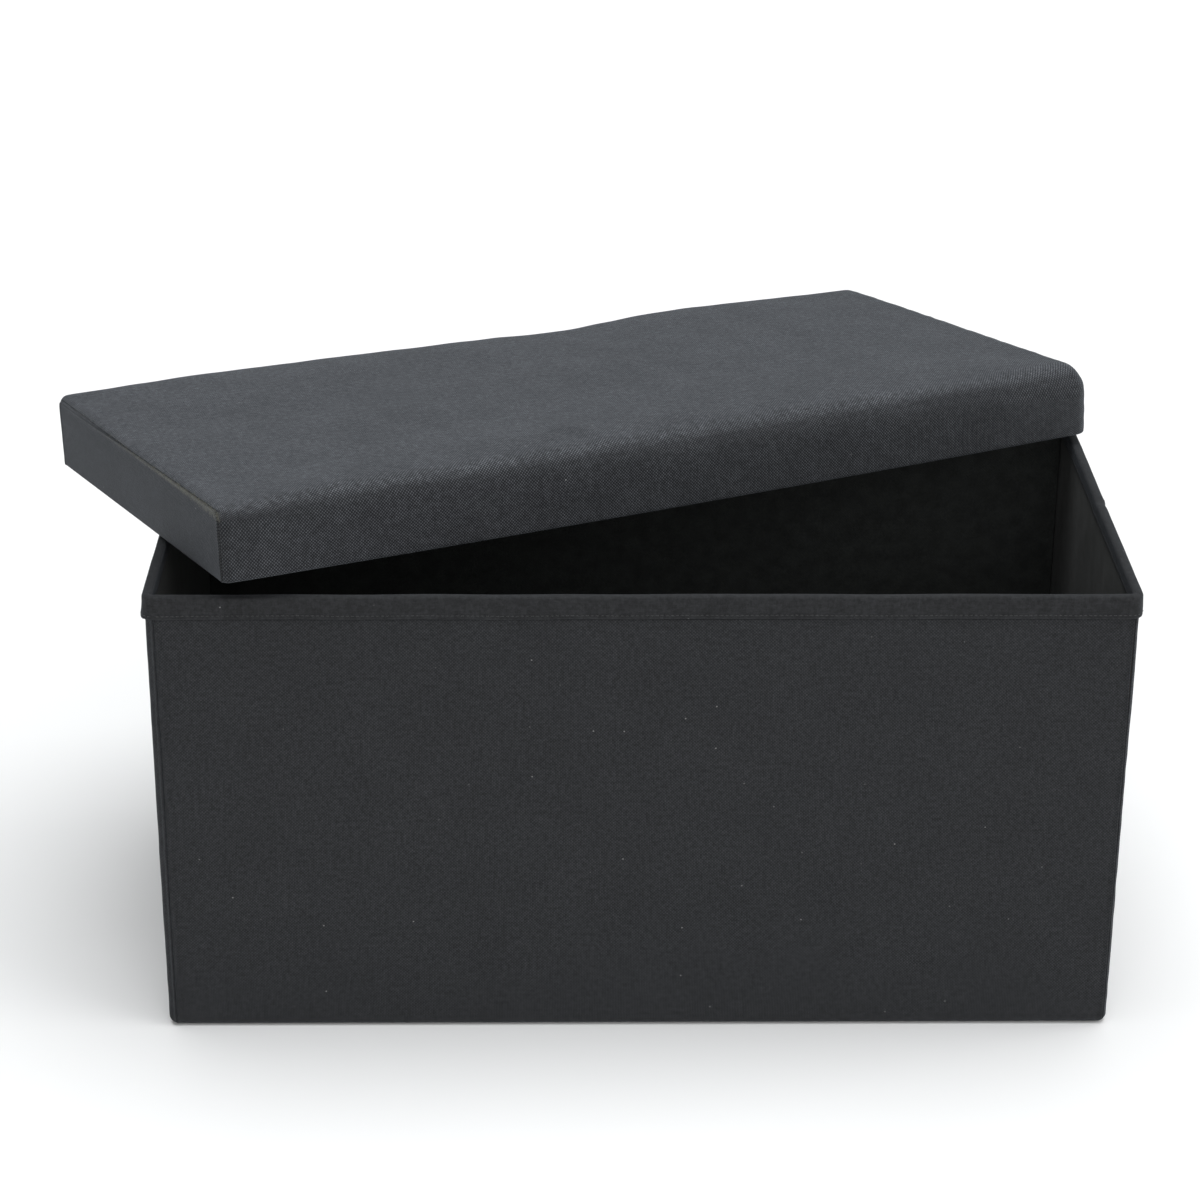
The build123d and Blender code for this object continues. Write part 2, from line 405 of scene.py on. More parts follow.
def woven(name, warp, weft, relief, sheen, pitch=1.3 * MM, deep=0.6, blot=300, uneven=0.05,
          specular=0.25, wear_and_painted_light=None):
    """Charcoal linen-look polyester with slubs, uneven dye, lint, painted shade between its yarns and, where
    asked, wear and painted light and shade.
    """
    s = Shader(name, 0.85, specular, sheen, 0.45, (0.80, 0.88, 1.0))
    place = s.coordinates("Object")
    cloth_uv = s.coordinates("UV")
    over, height = weave(s, cloth_uv, place, pitch)
    stretched = [s.noise(s.scaled(cloth_uv, scale), 1.0, 1.0) for scale in ((700, 70, 1), (70, 700, 1))]
    slub = s.math("ADD", *(s.spread(noise, 0.25, 0.75, 0.38, 0.62) for noise in stretched))
    grain = s.spread(s.noise(place, 900, 3.0, 0.7), 0.3, 0.7, 0.85, 1.15)
    mottle = s.spread(s.noise(place, blot, 2.0, 0.6), 0.36, 0.64, 0.76, 1.24)
    dye = s.spread(s.noise(place, 24, 3.0, 0.55), 0.35, 0.65, 1 - uneven, 1 + uneven)
    # painted shade: the gaps between yarns darkened and their crowns lightened, standing in for the shade
    # between them
    depth = s.spread(height, 0.0, 1.0, deep, 1.0 + 0.35 * (1 - deep))
    shade = s.product(slub, grain, s.product(dye, mottle), depth)
    colour = s.shade(s.mix(over, (*weft, 1), (*warp, 1)), shade)
    # wear and painted light and shade, where a function for them is given
    if wear_and_painted_light is not None:
        colour = wear_and_painted_light(s, place, colour)
    fleck = s.product(s.specks(cloth_uv, 42, 0.026, 0.12, flat=True), 0.45)
    colour = s.mix(fleck, colour, (0.36, 0.36, 0.36, 1))
    bumps = s.math("ADD", height, s.product(s.noise(place, 900, 2.0), 0.35))
    return s.finish(colour, bumps, relief, 0.8, s.spread(grain, 0.85, 1.15, 0.92, 0.78))


def felted(name, colour, sheen):
    """Dark non-woven lining: pressed fibres with a faint point-bonded pattern."""
    s = Shader(name, 0.8, 0.3, sheen, 0.5)
    place = s.coordinates("Object")
    fibre = s.spread(s.noise(place, 700, 4.0, 0.75), 0.3, 0.7, 0.65, 1.35)
    patch = s.spread(s.noise(place, 70, 3.0, 0.6), 0.35, 0.65, 0.80, 1.20)
    spacing = 2.4 * MM
    uv = s.split(s.scaled(s.coordinates("UV"), (1 / spacing, 1 / spacing, 1)))
    dots = s.spread(s.product(s.wave(uv[0]), s.wave(uv[1])), -1.0, 1.0)
    tone = s.product(fibre, patch, s.spread(dots, 0.0, 1.0, 0.9, 1.1))
    return s.finish(s.shade((*colour, 1), tone), s.math("ADD", dots, fibre), 0.12 * MM, 0.5)


def thread(name, colour):
    """Twisted sewing thread."""
    s = Shader(name, 0.55, 0.4, 0.2)
    ply = s.spread(s.noise(s.coordinates("Object"), 2600), 0.3, 0.7, 0.75, 1.3)
    return s.finish(s.shade((*colour, 1), ply), ply, 0.08 * MM, 0.6)


def ribbon(name, colour):
    """Ribbed woven ribbon: cross ribs along its length."""
    s = Shader(name, 0.7, 0.35, 0.25)
    uv = s.split(s.scaled(s.coordinates("UV"), (1 / (0.9 * MM), 1 / (1.3 * MM), 1)))
    rib = s.spread(s.wave(uv[1]), -1.0, 1.0)
    cord = s.spread(s.wave(uv[0]), -1.0, 1.0, 0.8, 1.1)
    dye = s.spread(s.noise(s.coordinates("Object"), 300), 0.3, 0.7, 0.9, 1.1)
    tone = s.product(s.spread(rib, 0.0, 1.0, 0.7, 1.2), cord, dye)
    return s.finish(s.shade((*colour, 1), tone), rib, 0.25 * MM, 0.8)


def fibreboard(name):
    """Raw brown fibreboard with pressed chips."""
    s = Shader(name, 0.75)
    place = s.coordinates("Object")
    chips = s.spread(s.noise(s.scaled(place, (60, 60, 240)), 3.0, 4.0, 0.7), 0.3, 0.7)
    speck = s.product(s.specks(place, 500, 0.25, 0.3), 0.5)
    colour = s.mix(chips, (0.20, 0.125, 0.065, 1), (0.36, 0.25, 0.145, 1))
    colour = s.mix(speck, colour, (0.12, 0.07, 0.035, 1))
    return s.finish(colour, chips, 0.2 * MM, 0.4)


def foam(name):
    """Open-cell cream foam."""
    s = Shader(name, 0.95, 0.2)
    place = s.coordinates("Object")
    cells = s.spread(s.noise(place, 900, 2.0, 0.6), 0.35, 0.65)
    age = s.spread(s.noise(place, 12), 0.3, 0.7)
    colour = s.mix(age, (0.72, 0.66, 0.48, 1), (0.82, 0.78, 0.64, 1))
    colour = s.shade(colour, s.spread(cells, 0.0, 1.0, 0.72, 1.05))
    return s.finish(colour, cells, 0.5 * MM, 0.8)


def lid_wear_and_painted_light(s, place, colour):
    """A top painted lighter as painted light and sheen from above, a left end painted darker as painted
    shade with a warmer tone, a painted shadow line in its seam and olive dust rubbed in below it.
    """
    x, y, z = s.split(place)
    # painted light: the top lightened in cloudy patches, standing in for light from above and sheen
    painted_top_light = s.spread(z, LID_H - 9 * MM, LID_H - 3 * MM)
    cloudy = s.spread(s.noise(place, 230, 2.0, 0.6), 0.36, 0.64, 0.5, 1.3)
    colour = s.shade(colour, s.math("ADD", s.product(painted_top_light, cloudy), 1.0))
    end = s.spread(x, -LID_X + 1.0 * MM, -LID_X + 3.0 * MM, 1.0, 0.0)
    # painted shade on the left end, which gets less light, mixed with a warmer tone
    colour = s.mix(s.product(end, 0.22), colour, (0.012, 0.011, 0.008, 1))
    below = s.math("SUBTRACT", LID_H - 3.3 * MM, z)
    front = s.spread(y, 0.02, -LID_Y)
    reach = s.spread(s.math("POWER", front, 2.0), 0.0, 1.0, 2.2 * MM, 7.5 * MM)
    ragged = s.product(reach, s.spread(s.noise(place, 300, 3.0, 0.7), 0.35, 0.65, 0.4, 1.3))
    band = s.product(s.math("LESS_THAN", below, ragged), s.math("GREATER_THAN", below, 0.6 * MM))
    blotch = s.spread(s.noise(place, 520, 3.0, 0.7), 0.4, 0.6, 0.25, 1.0)
    along = s.spread(y, 0.10, -0.12, 0.12, 0.75)
    colour = s.mix(s.product(band, blotch, along, end), colour, (0.125, 0.122, 0.094, 1))
    # painted shadow: a near-black line in the seam's crease
    line = s.math("LESS_THAN", s.math("ABSOLUTE", s.math("SUBTRACT", below, 0.1 * MM)), 0.55 * MM)
    return s.mix(s.product(line, end, 0.85), colour, (0.004, 0.004, 0.004, 1))


def wall_painted_shadow(s, place, colour):
    """Painted shadow: a dark line in the angle where the rim strip meets the wall."""
    z = s.split(place)[2]
    below = s.math("ABSOLUTE", s.math("SUBTRACT", z, RIM_Z - BINDING_H - 0.8 * MM))
    # painted shadow under the rim strip
    line = s.spread(below, 0.4 * MM, 1.5 * MM, 0.7, 0.0)
    return s.mix(line, colour, (0.005, 0.005, 0.006, 1))


# one cloth with the lid's, in two copies: the box's colours are set darker than the lid's, as painted shade
# on the box and painted light on the lid
COVER = woven(
    "charcoal_weave",
    (0.0286, 0.0299, 0.0322),
    (0.0144, 0.0152, 0.0172),
    relief=0.2 * MM,
    deep=0.62,
    sheen=0.07,
    wear_and_painted_light=wall_painted_shadow,
)
LID_COVER = woven(
    "charcoal_weave_lid",
    (0.0520, 0.0544, 0.0590),
    (0.0096, 0.0104, 0.0126),
    relief=0.4 * MM,
    deep=0.24,
    blot=270,
    uneven=0.10,
    specular=0.2,
    sheen=0.13,
    wear_and_painted_light=lid_wear_and_painted_light,
)
BINDING = woven(
    "charcoal_binding",
    (0.0225, 0.0233, 0.0250),
    (0.0150, 0.0156, 0.0168),
    pitch=0.6 * MM,
    relief=0.1 * MM,
    sheen=0.07,
)
LINING = felted("black_nonwoven", (0.0280, 0.0306, 0.0294), 0.06)
THREAD = thread("charcoal_thread", (0.021, 0.022, 0.023))
FRAYED = thread("faded_yarn", (0.085, 0.082, 0.066))
RIBBON = ribbon("black_ribbon", (0.018, 0.018, 0.020))
BOARD = fibreboard("fibreboard")
FOAM = foam("cream_foam")


def dress(piece, material, body, slot, *replaced):
    """Gives a piece its material and its body, and hides the CAD nodes it stands for. The slot argument is
    not used.

    Pieces of the lid are built in the lid's own axes, and are placed here.
    """
    if body == "lid":
        piece.matrix_world = LID_PLACE
    piece.data.materials.clear()
    piece.data.materials.append(material)
    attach(piece, body)
    if replaced:
        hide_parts(*replaced)


# ---- box cover
STRAIGHT_W = BOX_W - 2 * CORNER_R
STRAIGHT_D = BOX_D - 2 * CORNER_R
ARC = math.pi / 2 * CORNER_R
PERIMETER = 2 * (STRAIGHT_W + STRAIGHT_D) + 4 * ARC
# Distance of each upright seam from its corner: the left ones sit a little further in.
SEAM_LEFT = 7 * MM
SEAM_RIGHT = 4 * MM


def outline(s):
    """Point and outward normal of the box's outline, s metres round from the front left corner's end."""
    s = np.asarray(s, float) % PERIMETER
    point = np.zeros((*s.shape, 2))
    normal = np.zeros((*s.shape, 2))
    start = 0.0
    hx, hy = STRAIGHT_W / 2, STRAIGHT_D / 2
    centres = [(hx, -hy), (hx, hy), (-hx, hy), (-hx, -hy)]
    for i, centre in enumerate(centres):
        heading = np.array([math.cos(i * math.pi / 2), math.sin(i * math.pi / 2)])
        outward = np.array([heading[1], -heading[0]])
        length = STRAIGHT_W if i % 2 == 0 else STRAIGHT_D
        on = (s >= start) & (s < start + length)
        back = (start + length - s)[..., None] * heading
        point[on] = (np.array(centre) + outward * CORNER_R - back)[on]
        normal[on] = outward
        start += length
        on = (s >= start) & (s < start + ARC)
        angle = (s - start) / CORNER_R + math.atan2(outward[1], outward[0])
        turned = np.stack([np.cos(angle), np.sin(angle)], -1)
        point[on] = (np.array(centre) + turned * CORNER_R)[on]
        normal[on] = turned[on]
        start += ARC
    return point, normal


def seam_places():
    """Where the upright seams lie along the outline, from the front left one round to it again."""
    left, right = (
        CORNER_R * math.asin((CORNER_R - edge) / CORNER_R) for edge in (SEAM_LEFT, SEAM_RIGHT)
    )
    back_start = STRAIGHT_W + STRAIGHT_D + 2 * ARC
    return -left, STRAIGHT_W + right, back_start - right, back_start + STRAIGHT_W + left, PERIMETER - left


def foot_levels():
    """Heights down a wall panel with the inset of its soft lower edge, ending under the box."""
    heights = graded(FOOT_R, WALL_TOP, 6 * MM, 1.5 * MM, 20 * MM)[::-1]
    angle = np.linspace(0, math.pi / 2, 9)[1:]
    round_z = FOOT_R * (1 - np.sin(angle))
    round_in = FOOT_R * (1 - np.cos(angle))
    return np.concatenate([heights, round_z]), np.concatenate([np.zeros(len(heights)), round_in])


def crease(y):
    """Print of the gap between the two half boards of an end wall."""
    return bump(y, 0, 4 * MM) - 0.5 * bump(y, 9 * MM, 5 * MM) - 0.5 * bump(y, -9 * MM, 5 * MM)


def wall_lift(s, z, from_seam, is_end, seed):
    """How far the cover stands off its flat board, in metres."""
    open_height = smooth(z, 0, 60 * MM) * smooth(WALL_TOP - z, 0, 40 * MM)
    lift = 0.22 * MM * ripple(s, z, 0.15, seed) * open_height
    lift = lift + 0.07 * MM * ripple(s, z, 0.035, seed + 1) * open_height
    uneven = 1 + 0.18 * ripple(z, s * 0, 0.05, seed + 2)
    welt = 1.15 * MM * bump(from_seam, 0.9 * MM, 1.1 * MM) - 0.35 * MM * bump(from_seam, 4.2 * MM, 1.6 * MM)
    lift = lift + welt * uneven - 0.5 * MM * bump(from_seam, 0, 0.5 * MM)
    lift = lift + 0.12 * MM * bump(from_seam, 6 * MM, 6 * MM) * ripple(z, s, 0.018, seed + 3)
    if is_end:
        point, _ = outline(s)
        y = point[..., 1]
        bulge = np.clip(1 - (2 * y / BOX_D) ** 2, 0, 1)
        lift = lift + 1.6 * MM * bulge * open_height - 0.7 * MM * crease(y)
    return lift


def wall_panel(name, start, end, is_end, seed):
    """One wall panel of the woven cover, from seam to seam, turned under at the foot."""
    s = graded(start, end, 7 * MM, 0.45 * MM, 12 * MM)
    z, inset = foot_levels()
    ss, zz = np.meshgrid(s, z)
    from_seam = np.minimum(ss - start, end - ss)
    point, normal = outline(ss)
    lift = wall_lift(ss, zz, from_seam, is_end, seed) * (1 - smooth(FOOT_R - zz, 0, FOOT_R))
    flat = point + normal * (lift - inset[:, None])[..., None]
    return cloth(name, np.concatenate([flat, zz[..., None]], -1), COVER_CLOTH)


def build_box_cover():
    """Four wall panels, sewn together at the corners."""
    seams = seam_places()
    for number, side in enumerate(WALLS):
        seed = 11 + 10 * number
        piece = wall_panel(f"box_{side}_panel", seams[number], seams[number + 1], at_end(side), seed)
        dress(piece, COVER, "box", "cover_fabric", f"{side}_cover")


def build_bottom_panel():
    """Flat underside, seamed to the wall panels just inside the soft lower edge."""
    hx = BOX_W / 2 - FOOT_R - 0.1 * MM
    hy = BOX_D / 2 - FOOT_R - 0.1 * MM
    x, y = np.meshgrid(*(graded(-half, half, 10 * MM, 1 * MM, 8 * MM) for half in (hx, hy)))
    edge = np.minimum(hx - np.abs(x), hy - np.abs(y))
    lift = 0.15 * MM * (1 + ripple(x, y, 0.09, 51) / 3) * smooth(edge, 0, 30 * MM)
    lift = lift + 0.3 * MM * bump(edge, 2.5 * MM, 1.2 * MM)
    piece = cloth("box_bottom_panel", np.stack([x, y, lift], -1), BOTTOM_CLOTH)
    dress(piece, COVER, "box", "cover_fabric", "bottom_cover")


# ---- rim binding
def corner_share(s):
    """1 at the four corners of the outline, falling to 0 along the sides."""
    share = 0
    start = STRAIGHT_W + ARC / 2
    for length in (STRAIGHT_D, STRAIGHT_W, STRAIGHT_D, STRAIGHT_W):
        away = np.abs((s - start + PERIMETER / 2) % PERIMETER - PERIMETER / 2)
        share = share + np.exp(-away / (26 * MM))
        start += length + ARC
    return np.clip(share, 0, 1)


def binding_section():
    """Section of the folded strip, a closed loop: (offset outward from the wall, depth below the rim)."""
    out = BINDING_OUT
    inner = BINDING_OUT - RIM_T
    wall_out = out - 1.1 * MM
    wall_in = inner + 0.8 * MM
    shoulder = 2.2 * MM
    outside = [(out - 0.9 * MM, BINDING_H + 0.4 * MM), (out - 0.1 * MM, BINDING_H + 0.1 * MM)]
    outside += [(out + 0.15 * MM, BINDING_H - 1.0 * MM)]
    outside += [(out + 0.05 * MM, d) for d in np.linspace(BINDING_H - 3 * MM, 4 * MM, 7)]
    angles = np.linspace(0, math.pi / 2, 5)
    over = [(out - shoulder + shoulder * math.cos(a), shoulder - shoulder * math.sin(a)) for a in angles]
    over += [(x, -0.15 * MM) for x in np.linspace(out - shoulder - 1.0 * MM, inner + shoulder + 0.6 * MM, 3)]
    over += [(inner + shoulder - shoulder * math.sin(a), shoulder - shoulder * math.cos(a)) for a in angles]
    inside = [(inner, d) for d in (5 * MM, 8 * MM, 11 * MM, 12.3 * MM)]
    inside += [(inner + 0.35 * MM, 12.9 * MM), (wall_in - 0.05 * MM, 12.4 * MM)]
    back = [(wall_in, 8 * MM), (wall_in + 0.1 * MM, 3.0 * MM), (0.1 * MM, 2.4 * MM)]
    back += [(wall_out, 5 * MM), (wall_out, BINDING_H - 1 * MM)]
    return np.array(outside + over + inside + back)


def end_wall_y(s):
    """Depth position along the outline, and 1 on the end walls."""
    point, normal = outline(s)
    return point[..., 1], np.abs(normal[..., 0])


def rim_wobble(s, depth):
    """Unevenness of the strip, (outward, upward): flared corners, and a pucker at each end wall's crease."""
    y, on_end = end_wall_y(s)
    low = smooth(depth, 2 * MM, BINDING_H)
    flare = 1.3 * MM * corner_share(s) * low
    wave = 0.18 * MM * ripple(s, depth * 3, 0.045, 61) + 0.22 * MM * ripple(s, depth, 0.2, 62)
    pinch = on_end * (0.9 * MM * bump(y, 3 * MM, 5 * MM) - 0.8 * MM * bump(y, -6 * MM, 4 * MM))
    sag = 0.25 * MM * ripple(s, depth * 0, 0.12, 63) - on_end * 1.1 * MM * bump(y, 0, 7 * MM)
    return flare + wave * (0.4 + low) + pinch, sag


def build_binding():
    """One strip folded over the rim all the way round."""
    section = binding_section()
    s = np.concatenate([graded(a, b, 5 * MM, 0.7 * MM, 16 * MM)[:-1] for a, b in binding_spans()])
    depth, ss = np.meshgrid(section[:, 1], s, indexing="ij")
    offset = np.broadcast_to(section[:, :1], depth.shape)
    point, normal = outline(ss)
    out, up = rim_wobble(ss, np.clip(depth, 0, None))
    out = np.where(offset < -1 * MM, -0.25 * np.abs(out), out)
    flat = point + normal * (offset + out)[..., None]
    points = np.concatenate([flat, (RIM_Z - depth + up)[..., None]], -1)
    rows, cols, _ = points.shape
    faces = grid_faces(rows, cols, wrap=True).tolist()
    last = (rows - 1) * cols
    faces += [[i, last + i, last + (i + 1) % cols, (i + 1) % cols] for i in range(cols)]
    run = distances(section)
    uv = np.stack([ss, np.broadcast_to(run[:, None], ss.shape)], -1).reshape(-1, 2)
    piece = make_mesh("rim_binding", points.reshape(-1, 3), faces, uv)
    nodes = ("front_binding", "back_binding", "left_binding", "right_binding")
    dress(piece, BINDING, "box", "binding_fabric", *nodes)


def binding_spans():
    """Stretches of the outline between the middles of its corners."""
    spans, start = [], -ARC / 2
    for length in (STRAIGHT_W, STRAIGHT_D, STRAIGHT_W, STRAIGHT_D):
        spans.append((start, start + length + ARC))
        start += length + ARC
    return spans


def binding_stitches():
    """Lockstitch through the strip, 3 mm above its lower edge, outside and inside."""
    s = np.linspace(0, PERIMETER, 1400)
    point, normal = outline(s)
    rows = (
        ("outer", BINDING_H - 3 * MM, BINDING_OUT + 0.05 * MM, 1),
        ("inner", 10 * MM, BINDING_OUT - RIM_T, -1),
    )
    for name, depth, offset, sign in rows:
        out, up = rim_wobble(s, np.full_like(s, depth))
        out = out if sign > 0 else -0.25 * np.abs(out)
        flat = point + normal * (offset + out)[:, None]
        path = np.column_stack([flat, RIM_Z - depth + up])
        outward = np.column_stack([normal * sign, np.zeros(len(s))])
        dress(stitches(f"binding_{name}_stitches", path, outward), THREAD, "box", "binding_fabric")


# ---- lining
def build_lining():
    """Four lining panels, loose enough to ripple between the boards and the rim strip."""
    top = RIM_Z - 11.5 * MM
    z = graded(LINING_FOOT, top, 7 * MM, 1.5 * MM, 10 * MM)[::-1]
    for seed, side in enumerate(WALLS, 71):
        reach, half = reach_and_half(side, INNER_X, INNER_Y)
        ss, zz = np.meshgrid(graded(-half, half, 7 * MM, 1.5 * MM, 10 * MM), z)
        free = smooth(half - np.abs(ss), 0, 30 * MM) * smooth(zz - LINING_FOOT, 0, 20 * MM)
        free = free * smooth(top - zz, -8 * MM, 25 * MM)
        sag = 0.55 * MM * (1.2 + ripple(ss, zz * 0.5, 0.11, seed))
        sag = np.clip(sag + 0.18 * MM * ripple(ss, zz, 0.03, seed + 10), 0.05 * MM, None) * free
        if at_end(side):
            sag = sag + 1.0 * MM * bump(ss, 0, 3 * MM) * smooth(zz, 0, 60 * MM)
        piece = cloth(f"{side}_lining_panel", on_wall(side, reach - sag, ss, zz), LINING_CLOTH, flip=True)
        dress(piece, LINING, "box", "lining_fabric", f"{side}_lining")


# ---- base board
def build_base_board():
    """Loose board in a sewn sleeve, with a row of stitches round its edge."""
    low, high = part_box("base_board_cover")
    xs = graded(low.x, high.x, 9 * MM, 0.5 * MM, 5 * MM)
    ys = graded(low.y, high.y, 9 * MM, 0.5 * MM, 5 * MM)
    sleeve = pillow("base_board_sleeve", xs, ys, low.z, high.z, 2.6 * MM)
    dress(sleeve, LINING, "base_board", "lining_fabric", "base_board_cover")
    inset = 7 * MM
    left, front, right, back = low.x + inset, low.y + inset, high.x - inset, high.y - inset
    corners = [(left, front), (right, front), (right, back), (left, back), (left, front)]
    path = subdivided([(*corner, high.z) for corner in corners], 60)
    row = stitches("base_board_stitches", path, (0, 0, 1), 3.2 * MM, 1.6 * MM)
    dress(row, THREAD, "base_board", "lining_fabric")


def ribbon_path(low, high):
    """Side view of the doubled ribbon: forward over its top, round its fold, back along its underside."""
    fold = 0.5 * (high.z - low.z)
    ring = fold * 0.98
    start = low.y + ring
    run = high.y - low.y - ring
    share = np.linspace(1, 0, 24)
    angle = np.linspace(math.pi / 2, -math.pi / 2, 9)
    upper = [start + share * run, high.z - 0.05 * MM + 0.35 * MM * np.sin(math.pi * share)]
    bend = [start - ring * np.cos(angle), low.z + fold + ring * np.sin(angle)]
    lower = [start + share[::-1] * run, np.full_like(share, low.z + 0.02 * MM)]
    return np.concatenate([upper, bend, lower], 1).T


def build_pull_tab():
    """Doubled ribbon, sewn to the board with a small box of stitches, its free end a soft fold."""
    low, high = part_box("pull_tab")
    width = high.x - low.x
    path = ribbon_path(low, high)
    y, x = np.meshgrid(path[:, 0], graded(-width / 2, width / 2, 2 * MM, 0.5 * MM, 2 * MM), indexing="ij")
    z = np.broadcast_to(path[:, 1:], x.shape)
    tab = cloth("pull_tab_ribbon", np.stack([x, y, z], -1), LINING_CLOTH)
    dress(tab, RIBBON, "base_board", "ribbon", "pull_tab")
    half = width / 2 - 3 * MM
    front, back = high.y - 12 * MM, high.y - 3 * MM
    turns = [(-half, front), (half, front), (half, back), (-half, back)]
    turns += [(-half, front), (half, back), (half, front), (-half, back)]
    line = subdivided([(*turn, high.z + 0.1 * MM) for turn in turns], 12)
    row = stitches("pull_tab_stitches", line, (0, 0, 1), 2.0 * MM, 0.8 * MM, 0.3 * MM)
    dress(row, THREAD, "base_board", "ribbon")


# ---- lid
HEM = 9 * MM               # cloth turned up inside the skirt
SEAM_ANGLE = math.radians(55)   # how far round its rounded end edge the cover reaches before the seam
LEFT_END_R = 7 * MM        # rounding of the left end's edges
RIGHT_END_R = 14 * MM      # the right end has gone softer
RIGHT_PROUD = 3.4 * MM     # and its foam pushes the cover out
SWELL_STEPS = 20           # steps of the cloth simulation


def edge_radius(x):
    """Radius of the cover's front and back top edges at x."""
    left = 10 * MM + 7 * MM * smooth(x, -LID_X, -LID_X + 90 * MM)
    return left + 9 * MM * smooth(x, 0.25, LID_X - RIGHT_END_R)


def square_turn(angle):
    """Sine with square shoulders, so that the hem's fold clears the edge of the strip inside it."""
    return math.sqrt(max(0.0, math.sin(angle)))


def lid_profile(soft):
    """Round the lid from the hem inside the front skirt to the back one: points, outward normals, depths."""
    half = LID_Y
    lip = SKIRT_T / 2
    rows = [((-half, z), (-1, 0), SKIRT_T + 0.1 * MM) for z in np.linspace(HEM, lip, 4)]
    for a in np.linspace(0, math.pi, 9)[1:-1]:
        rows.append(((-half, lip - lip * square_turn(a)), (-1, 0), lip + lip * math.cos(a)))
    rows += [((-half, z), (-1, 0), 0) for z in np.linspace(lip, LID_H - soft, 13)]
    for a in np.linspace(0, math.pi / 2, 13)[1:]:
        centre = (-half + soft, LID_H - soft)
        out = (-math.cos(a), math.sin(a))
        rows.append(((centre[0] + soft * out[0], centre[1] + soft * out[1]), out, 0))
    rows += [((y, LID_H), (0, 1), 0) for y in np.linspace(-half + soft, 0, 24)[1:]]
    mirrored = [((-y, z), (-ny, nz), depth) for (y, z), (ny, nz), depth in rows[-2::-1]]
    points, normals, depths = zip(*(rows + mirrored))
    return np.array(points), np.array(normals), np.array(depths)


def wrap_columns():
    """Stations along the wrap: (x where the profile is taken, turn angle, extra depth, end radius, side)."""
    right_end = LID_X + RIGHT_PROUD - RIGHT_END_R
    middle = graded(-LID_X + LEFT_END_R, right_end, 7 * MM, 1.2 * MM, 14 * MM)
    columns = [(x, 0.0, 0.0, LEFT_END_R, -1) for x in middle]
    bend = [(a, 0.0) for a in np.linspace(0, SEAM_ANGLE, 8)[1:]]
    bend += [(SEAM_ANGLE + 0.05, 0.25 * MM), (SEAM_ANGLE + 0.08, 0.9 * MM), (SEAM_ANGLE + 0.08, 2.0 * MM)]
    left = [(-LID_X + LEFT_END_R, a, depth, LEFT_END_R, -1) for a, depth in bend[::-1]]
    right = [(right_end, a, depth, RIGHT_END_R, 1) for a, depth in bend]
    return left + columns + right


def wrap_point_grid():
    """Plain shape of the wrap: rows along the profile, columns along the lid and over its rounded ends."""
    grid, angles = [], []
    for x, angle, sunk, radius, side in wrap_columns():
        points, normals, depths = lid_profile(edge_radius(x))
        reach = radius - depths - sunk
        centre = points - radius * normals
        y, z = (centre + reach[:, None] * math.cos(angle) * normals).T
        z = np.where(points[:, 1] < SKIRT_T / 2, points[:, 1], z)
        along = np.full(len(y), x) + side * reach * math.sin(angle)
        grid.append(np.stack([along, y, z], -1))
        angles.append(angle)
    return np.swapaxes(np.array(grid), 0, 1), np.array(angles)


def lid_wear(points):
    """Moves points of the plain block to where the slightly crooked cover, out of shape with use, has them.
    """
    x, y, z = np.moveaxis(points, -1, 0)
    high = smooth(z, LID_H - 32 * MM, LID_H)
    at_back = smooth(y, 0.11, LID_Y - 6 * MM)
    away = smooth(LID_X - np.abs(x), 0, 60 * MM)
    dz = -3.4 * MM * bump(x, 75 * MM, 58 * MM) * at_back
    dz = dz + 1.2 * MM * bump(x, 190 * MM, 80 * MM) * at_back
    dz = dz + 4.6 * MM * bump(x, -260 * MM, 175 * MM) * smooth(y, -0.02, LID_Y - 6 * MM)
    dz = dz - (0.9 * MM + 0.5 * MM * at_back) * smooth(x, 0.20, LID_X)
    fold = x + 0.35 * y
    dz = dz - 1.3 * MM * bump(fold, -140 * MM, 9 * MM) * bump(y, -0.165, 30 * MM)
    dz = dz + 0.9 * MM * bump(fold, -122 * MM, 12 * MM) * bump(y, -0.17, 30 * MM)
    dz = dz + (0.45 * MM * ripple(x, y, 0.13, 91) + 0.14 * MM * ripple(x, y, 0.04, 92)) * away
    dz = dz * high
    low = 1 - smooth(z, 0, 30 * MM)
    arch = np.clip(1 - (x / LID_X) ** 2, 0, 1)
    dz = dz - 2.0 * MM * arch * low * smooth(-y, 0.1, 0.19)
    dy = np.sign(y) * (1 - high) * 0.4 * MM * ripple(x, z, 0.12, 93) * away * smooth(z, HEM, 3 * HEM)
    dy = dy + np.sign(y) * 0.7 * MM * arch * bump(z, 30 * MM, 18 * MM)
    return points + np.stack([np.zeros_like(x), dy, dz], -1)


def swell(points, held, crown):
    """Blows the cover up over its foam as cloth, crown high; held marks what is sewn or glued down."""
    rows, cols, _ = points.shape
    blank = make_mesh("swell_blank", points.reshape(-1, 3), grid_faces(rows, cols))
    pins = blank.vertex_groups.new(name="pins")
    pins.add([int(i) for i in np.flatnonzero(held.ravel())], 1.0, "REPLACE")
    modifier = blank.modifiers.new("Cloth", "CLOTH")
    settings = modifier.settings
    settings.quality = 6
    settings.mass = 0.25
    settings.tension_stiffness = 25
    settings.compression_stiffness = 25
    settings.shear_stiffness = 8
    settings.bending_stiffness = 1.5
    settings.use_pressure = True
    settings.uniform_pressure_force = 4
    settings.vertex_group_mass = "pins"
    settings.effector_weights.gravity = 0
    modifier.collision_settings.use_collision = False
    scene = bpy.context.scene
    for step in range(1, SWELL_STEPS + 1):
        scene.frame_set(step)
    done = blank.evaluated_get(bpy.context.evaluated_depsgraph_get())
    moved = np.array([v.co for v in done.data.vertices]).reshape(rows, cols, 3)
    scene.frame_set(1)
    bpy.data.objects.remove(blank)
    shift = moved - points
    return points + shift * crown / np.linalg.norm(shift, axis=2).max()


